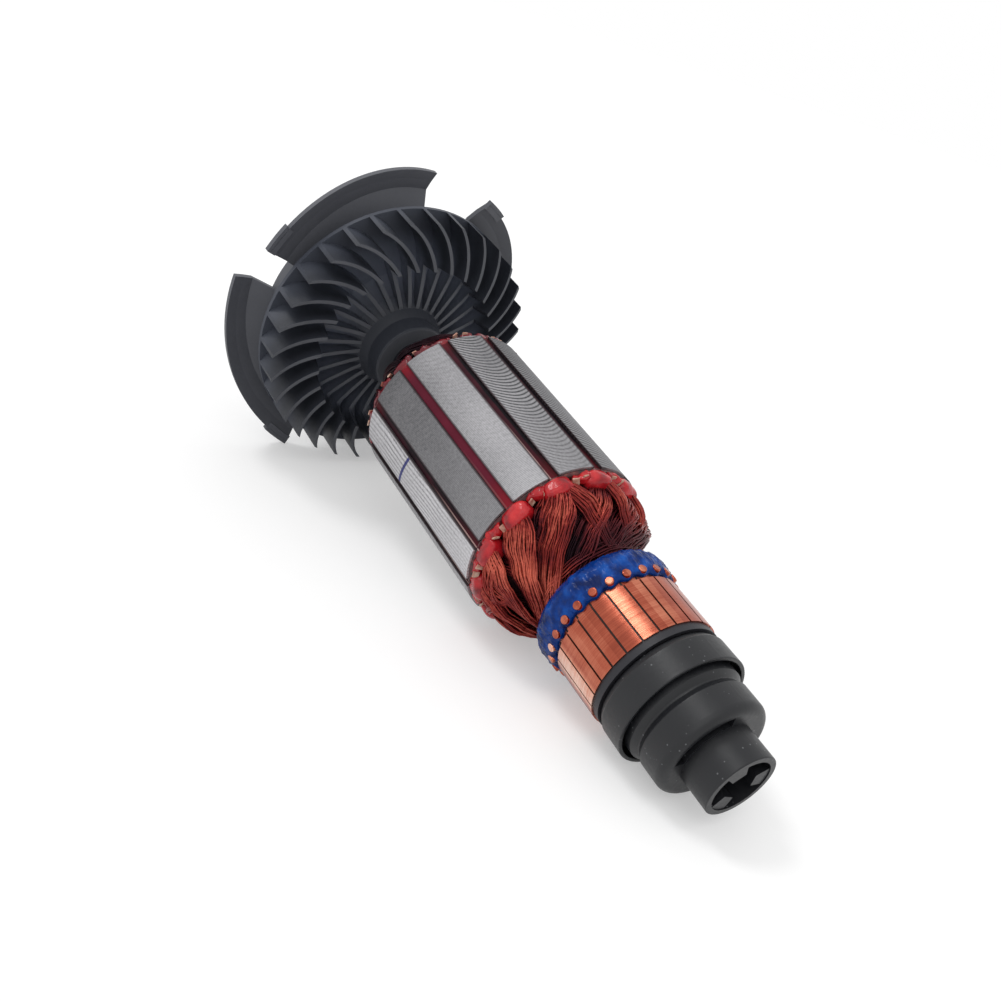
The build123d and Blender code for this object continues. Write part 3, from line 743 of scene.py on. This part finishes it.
def loose_wires(groups, seed):
    """Single wires that bow over the bundles from one place to another."""
    dice = random.Random(seed)
    paths = []
    for (deg0, z0), (deg1, z1), count in groups:
        for _ in range(count):
            shift = dice.uniform(-5, 5)
            drop = dice.uniform(-1.2, 1.2)
            lift = dice.uniform(0.1, 0.7)
            path = []
            for t in shares(14):
                z = z0 + (z1 - z0) * t + drop
                r = straight(FRONT_SHAPE, z) + lift * math.sin(math.pi * t) - 0.4 * (2 * t - 1) ** 2
                path.append(polar(r, deg0 + (deg1 - deg0) * t + shift, z))
            paths.append(path)
    return paths


def lines_mesh(name, paths):
    mesh = bpy.data.meshes.new(name)
    points = []
    edges = []
    for path in paths:
        first = len(points)
        points += [tuple(q) for q in path]
        edges += [(first + i, first + i + 1) for i in range(len(path) - 1)]
    mesh.from_pydata(points, edges, [])
    return mesh


def front_wires():
    paths = []
    for k in range(SLOTS):
        sunk = 1.5 if k in SUNK_SLOTS else 0.0
        paths += bundle(k * SLOT_PITCH, LEANING, FRONT_SHAPE, width=10.6, wires=19, rows=3,
                        sunk=sunk, seed=100 + k)
        paths += bundle(k * SLOT_PITCH + 12, CROSSING, FRONT_SHAPE, width=7.0, wires=10, rows=1,
                        sunk=3.2, seed=200 + k)
    for k in CROSSED_SLOTS:
        paths += bundle(k * SLOT_PITCH, CROSSING, FRONT_SHAPE, width=6.4, wires=12, rows=3,
                        sunk=-0.1, seed=300 + k)
    for k in range(6):
        paths += neck_wires(z=17.2 + 0.3 * (k % 3), r=16.6, start=k * 60, arc=85, rise=1.6,
                            count=5, seed=400 + k)
    paths += loose_wires(LOOSE_WIRES, 450)
    return lines_mesh("front_lines", paths)


def back_wires():
    """One slot's share of the hidden head: the tree sets it round the shaft."""
    leaning = [(z, d * 0.9) for z, d in LEANING]
    crossing = [(z, -d * 0.8) for z, d in LEANING]
    reach = {"z_from": 1.4, "z_to": BACK_SHAPE[-1][0]}
    paths = bundle(0, leaning, BACK_SHAPE, width=6.4, wires=11, rows=2, sunk=0.0, seed=500, **reach)
    paths += bundle(14, crossing, BACK_SHAPE, width=6.4, wires=9, rows=1, sunk=2.0, seed=501, **reach)
    for path in paths:
        for q in path:
            q.z = -STACK_LEN * MM - q.z
    return lines_mesh("back_lines", paths)


def mesh_of(bm, name):
    """The plain mesh of a finished bmesh."""
    mesh = bpy.data.meshes.new(name)
    bm.to_mesh(mesh)
    bm.free()
    return mesh


def closed_skin(name, rows):
    """A skin through rows of points that each go round the shaft, the last row joined to the first."""
    bm = bmesh.new()
    rows = [[bm.verts.new(point) for point in row] for row in rows]
    for low, high in zip(rows, rows[1:] + rows[:1]):
        for k in range(len(low)):
            after = (k + 1) % len(low)
            bm.faces.new((low[k], low[after], high[after], high[k]))
    bmesh.ops.recalc_face_normals(bm, faces=bm.faces)
    return mesh_of(bm, name)


def turned(name, profile, steps=120):
    """A surface of revolution about the shaft from (radius, z) points."""
    return closed_skin(name, [[polar(r, 360 * k / steps, z) for k in range(steps)] for r, z in profile])


def shade_core_mesh(name, shape, length, inset, base, outward):
    """The core under the wires, from the end board to the neck of the head; its near-black finish is painted shade
    for the wires deep inside.
    """
    outside = []
    for t in shares(14):
        z = BOARD + (length - BOARD) * t
        outside.append((max(straight(shape, z) - inset, INNER_R + 1), base + outward * z))
    return turned(name, [(INNER_R, outside[0][1]), *outside, (INNER_R, outside[-1][1])])


# End insulation: red resin over each slot, small drops on the teeth, and folded paper ends.
# A lump is its angle, radius, z, half sizes, squareness (1 for an egg, less for a block) and tilt.
FRONT_LOBE = [(0, 23.4, 2.20, (3.1, 4.5, 2.9), 0.66, 4)]
BACK_LOBE = [(0, 24.2, 1.2, (2.2, 3.2, 1.5), 0.6, 4), (5.5, 25.4, 1.0, (0.8, 1.2, 1.3), 0.8, 20),
             (-6.5, 25.6, 1.0, (0.7, 1.0, 1.4), 0.8, 30)]
DROPS = [(13.0, 25.0, 1.5, (1.4, 2.1, 1.5), 0.7, 0), (17.8, 24.9, 1.2, (1.3, 1.2, 1.2), 0.8, 0),
         (9.6, 25.2, 0.9, (0.9, 0.9, 0.9), 0.8, 0)]
BOARD_EDGE = [(26.4, 0.0), (26.3, 0.4), (25.4, 0.8), (24.8, BOARD)]
PAPER_THICKNESS = 0.45


def lump_mesh(name, lumps):
    bm = bmesh.new()
    for deg, r, z, size, square, tilt in lumps:
        turn = Matrix.Rotation(math.radians(deg), 3, "Z") @ Matrix.Rotation(math.radians(tilt), 3, "Y")
        centre = polar(r, deg, z)
        made = bmesh.ops.create_icosphere(bm, subdivisions=4, radius=1.0)
        for vert in made["verts"]:
            block = [math.copysign(abs(c) ** square, c) * half * MM for c, half in zip(vert.co, size)]
            vert.co = centre + turn @ Vector(block)
    bmesh.ops.recalc_face_normals(bm, faces=bm.faces)
    return mesh_of(bm, name)


def paper_ends(name):
    """The slot liners' paper ends, two small flaps beside each lobe of resin, no two alike."""
    bm = bmesh.new()
    dice = random.Random(9)
    for k in range(SLOTS):
        for side in (-1, 1):
            deg = k * SLOT_PITCH + side * math.degrees(dice.uniform(4.9, 5.4) / 25.2)
            made = bmesh.ops.create_cube(bm, size=1.0)
            tilt = Matrix.Rotation(dice.uniform(-0.5, 0.5), 3, "X")
            tilt = tilt @ Matrix.Rotation(dice.uniform(-0.2, 0.5), 3, "Y")
            turn = Matrix.Rotation(math.radians(deg + dice.uniform(-12, 12)), 3, "Z")
            size = (dice.uniform(1.7, 2.4), dice.uniform(1.4, 2.0), PAPER_THICKNESS)
            centre = polar(dice.uniform(25.1, 25.6), deg, dice.uniform(2.2, 3.0))
            for vert in made["verts"]:
                flat = Vector([c * v * MM for c, v in zip(vert.co, size)])
                vert.co = centre + turn @ tilt @ flat
    bmesh.ops.bevel(bm, geom=bm.edges[:], offset=0.1 * MM, segments=2, affect="EDGES")
    return mesh_of(bm, name)


def end_board(name, base, outward):
    outside = [(r, base + outward * z) for r, z in BOARD_EDGE]
    return turned(name, [(INNER_R, base), *outside, (INNER_R, outside[-1][1])])


def mirrored_back(mesh):
    """Carries a mesh made for the front face to the back face of the stack."""
    for vert in mesh.vertices:
        vert.co.z = -STACK_LEN * MM - vert.co.z
    mesh.flip_normals()


def insulate(end, base, outward, lobe, lumps):
    """Board, resin lobes, drops and paper at one end of the stack."""
    node = end + "_end_insulator"
    board = end_board(end + "_end_board", base, outward)
    piece(end + "_end_board", board, "rotor", "end_plate_board", node)
    lobes = set_round(end + "_lobes", lump_mesh(end + "_lobe", lobe), LUMPS_TREE, "red_insulation",
                      Count=SLOTS, Turn_Jitter=0.016, Lumps=lumps * MM, Lump_Scale=210.0, Seed=3)
    drops = set_round(end + "_drops", lump_mesh(end + "_drop", DROPS), LUMPS_TREE, "red_insulation",
                      Count=SLOTS, Turn_Jitter=0.05, Lumps=2.4 * MM, Lump_Scale=360.0, Seed=8)
    papers = paper_ends(end + "_papers")
    for name, mesh, slot in (("_resin_lobes", lobes, "red_insulation"),
                             ("_resin_drops", drops, "red_insulation"),
                             ("_paper_ends", papers, "insulation_paper")):
        if outward < 0:
            mirrored_back(mesh)
        piece(end + name, mesh, "rotor", slot, node, smooth=slot != "insulation_paper")


# The blue ring: its outline round from the back, the z from which it cups the copper hooks, the
# radius on which they sit, and half the width of the raised patch round each
RING_SHAPE = [(8.2, 21.6), (14.9, 21.6), (16.6, 21.9), (18.0, 22.7), (19.0, 23.9), (19.5, 25.2),
              (19.6, 26.6), (19.5, 27.9), (19.45, 28.9), (19.35, 29.8), (19.25, 30.5), (19.1, 31.1),
              (18.9, 31.6), (18.5, 32.0), (17.9, 32.25), (17.65, 32.3), (8.2, 32.3)]
RING_STEPS = BARS * 24
CUPPED_Z = 29.2
HOOK_R = 18.6
PATCH_HALF = 1.45


def ring_point(r, z, deg):
    """A point of the ring: lumpy outside, and drawn back a little between every two hooks."""
    if r < SLEEVE_R:
        return polar(r, deg, z)
    from_hook = (deg % BAR_PITCH - BAR_PITCH / 2) * math.radians(1) * HOOK_R
    at_hook = math.exp(-(from_hook / PATCH_HALF) ** 2)
    lumps = noise.noise(Vector((deg * 0.16, z * 0.75, 0.0)))
    lumps += 0.6 * noise.noise(Vector((deg * 0.5, z * 1.1, 4.0)))
    lumps *= min(1.0, (z - 21.0) / 2.5)
    if z > CUPPED_Z:
        lumps *= 1 - 0.8 * at_hook
        z -= (z - CUPPED_Z) * 0.22 * (1 - at_hook)
    return polar(r + 0.5 * lumps, deg, z)


def lacquer_ring():
    turns = [360 * k / RING_STEPS for k in range(RING_STEPS)]
    return closed_skin("blue_ring", [[ring_point(r, z, deg) for deg in turns] for r, z in RING_SHAPE])


def build():
    dress_cad()
    core = shade_core_mesh("front_winding_shade_core", FRONT_SHAPE, length=21.5, inset=3.9,
                             base=0.0, outward=1)
    piece("front_winding_shade_core", core, "rotor", "winding_core", "front_end_winding")
    wires = set_round("front_winding_wires", front_wires(), WIRES_TREE, "winding_copper",
                      Count=1, Lumps=0.9 * MM, Lump_Scale=190.0, Wire_Radius=0.235 * MM, Seed=5)
    piece("front_winding_wires", wires, "rotor", "winding_copper", "front_end_winding")
    core = shade_core_mesh("back_winding_shade_core", BACK_SHAPE, length=18.6, inset=3.4,
                             base=-STACK_LEN, outward=-1)
    piece("back_winding_shade_core", core, "rotor", "winding_core", "back_end_winding")
    wires = set_round("back_winding_wires", back_wires(), WIRES_TREE, "winding_copper",
                      Count=SLOTS, Lumps=0.9 * MM, Lump_Scale=170.0, Wire_Radius=0.3 * MM, Seed=6)
    piece("back_winding_wires", wires, "rotor", "winding_copper", "back_end_winding")
    insulate("front", 0.0, 1, FRONT_LOBE, 1.5)
    insulate("back", -STACK_LEN, -1, BACK_LOBE, 2.6)
    piece("blue_ring", lacquer_ring(), "rotor", "blue_lacquer", "lacquer_ring")


# Floor, light and camera

FLOOR_REACH = 40.0
FLOOR_COLOR = (0.68, 0.68, 0.68, 1)
FLOOR_LIFT = 0.36
SKY_LEVEL = 0.78
# Each sun: the direction it shines from, its strength, and its width in degrees
SUNS = {"key": ((-0.465, -0.33, 0.81), 0.7, 16), "fill": ((0.30, -0.55, 0.78), 0.45, 50)}
# Fitted to the outlines in the photograph; the place in mm, the directions in the part's frame
CAMERA_PLACE = (225.26, -198.92, 155.17)
CAMERA_FORWARD = (-0.6828, 0.6156, -0.3934)
CAMERA_UP = (-0.4887, 0.0154, 0.8723)
SENSOR_WIDTH = 36.0
FOCAL_LENGTH = 39.87


def seen_share(tree):
    """1 for what the camera sees, also by way of a reflection, and 0 for what lights the object."""
    path = tree.nodes.new("ShaderNodeLightPath")
    seen = path.outputs["Is Camera Ray"]
    for name in ("Is Glossy Ray", "Is Transmission Ray"):
        both = tree.nodes.new("ShaderNodeMath")
        both.operation = "MAXIMUM"
        tree.links.new(seen, both.inputs[0])
        tree.links.new(path.outputs[name], both.inputs[1])
        seen = both.outputs[0]
    return seen


def scaled(tree, socket, factor, more=0.0):
    made = tree.nodes.new("ShaderNodeMath")
    made.operation = "MULTIPLY_ADD"
    made.inputs[1].default_value = factor
    made.inputs[2].default_value = more
    tree.links.new(socket, made.inputs[0])
    return made.outputs[0]


def plain_floor():
    bm = bmesh.new()
    bmesh.ops.create_grid(bm, x_segments=1, y_segments=1, size=FLOOR_REACH)
    mesh = mesh_of(bm, "floor")
    floor = bpy.data.objects.new("floor", mesh)
    bpy.context.collection.objects.link(floor)
    m = bpy.data.materials.new("pale_floor")
    m.use_nodes = True
    shader = m.node_tree.nodes["Principled BSDF"]
    shader.inputs["Base Color"].default_value = FLOOR_COLOR
    shader.inputs["Roughness"].default_value = 1.0
    shader.inputs["Specular IOR Level"].default_value = 0.0
    shader.inputs["Emission Strength"].default_value = 1.0
    lift = scaled(m.node_tree, seen_share(m.node_tree), FLOOR_LIFT)
    m.node_tree.links.new(lift, shader.inputs["Emission Color"])
    mesh.materials.append(m)


def sun(name, towards, strength, soft_deg):
    """Light from the direction given."""
    data = bpy.data.lights.new(name, "SUN")
    data.energy = strength
    data.angle = math.radians(soft_deg)
    lamp = bpy.data.objects.new(name, data)
    bpy.context.collection.objects.link(lamp)
    lamp.rotation_euler = Vector(towards).to_track_quat("Z", "Y").to_euler()


def studio():
    world = bpy.data.worlds.new("studio")
    bpy.context.scene.world = world
    world.use_nodes = True
    back = world.node_tree.nodes["Background"]
    back.inputs[0].default_value = (1, 1, 1, 1)
    strength = scaled(world.node_tree, seen_share(world.node_tree), 1.0 - SKY_LEVEL, SKY_LEVEL)
    world.node_tree.links.new(strength, back.inputs[1])
    for name, (towards, energy, soft_deg) in SUNS.items():
        sun(name, towards, energy, soft_deg)


def camera():
    """Placed as the photograph was taken: looking along the armature from its commutator end."""
    data = bpy.data.cameras.new("camera")
    data.sensor_width = SENSOR_WIDTH
    data.lens = FOCAL_LENGTH
    data.clip_start = 0.01
    cam = bpy.data.objects.new("camera", data)
    bpy.context.collection.objects.link(cam)
    forward = Vector(CAMERA_FORWARD).normalized()
    right = forward.cross(Vector(CAMERA_UP)).normalized()
    cam.matrix_world = placed(right, right.cross(forward), -forward, Vector(CAMERA_PLACE) * MM)
    bpy.context.scene.camera = cam


build()
plain_floor()
studio()
camera()
bpy.context.scene.view_settings.view_transform = "Standard"
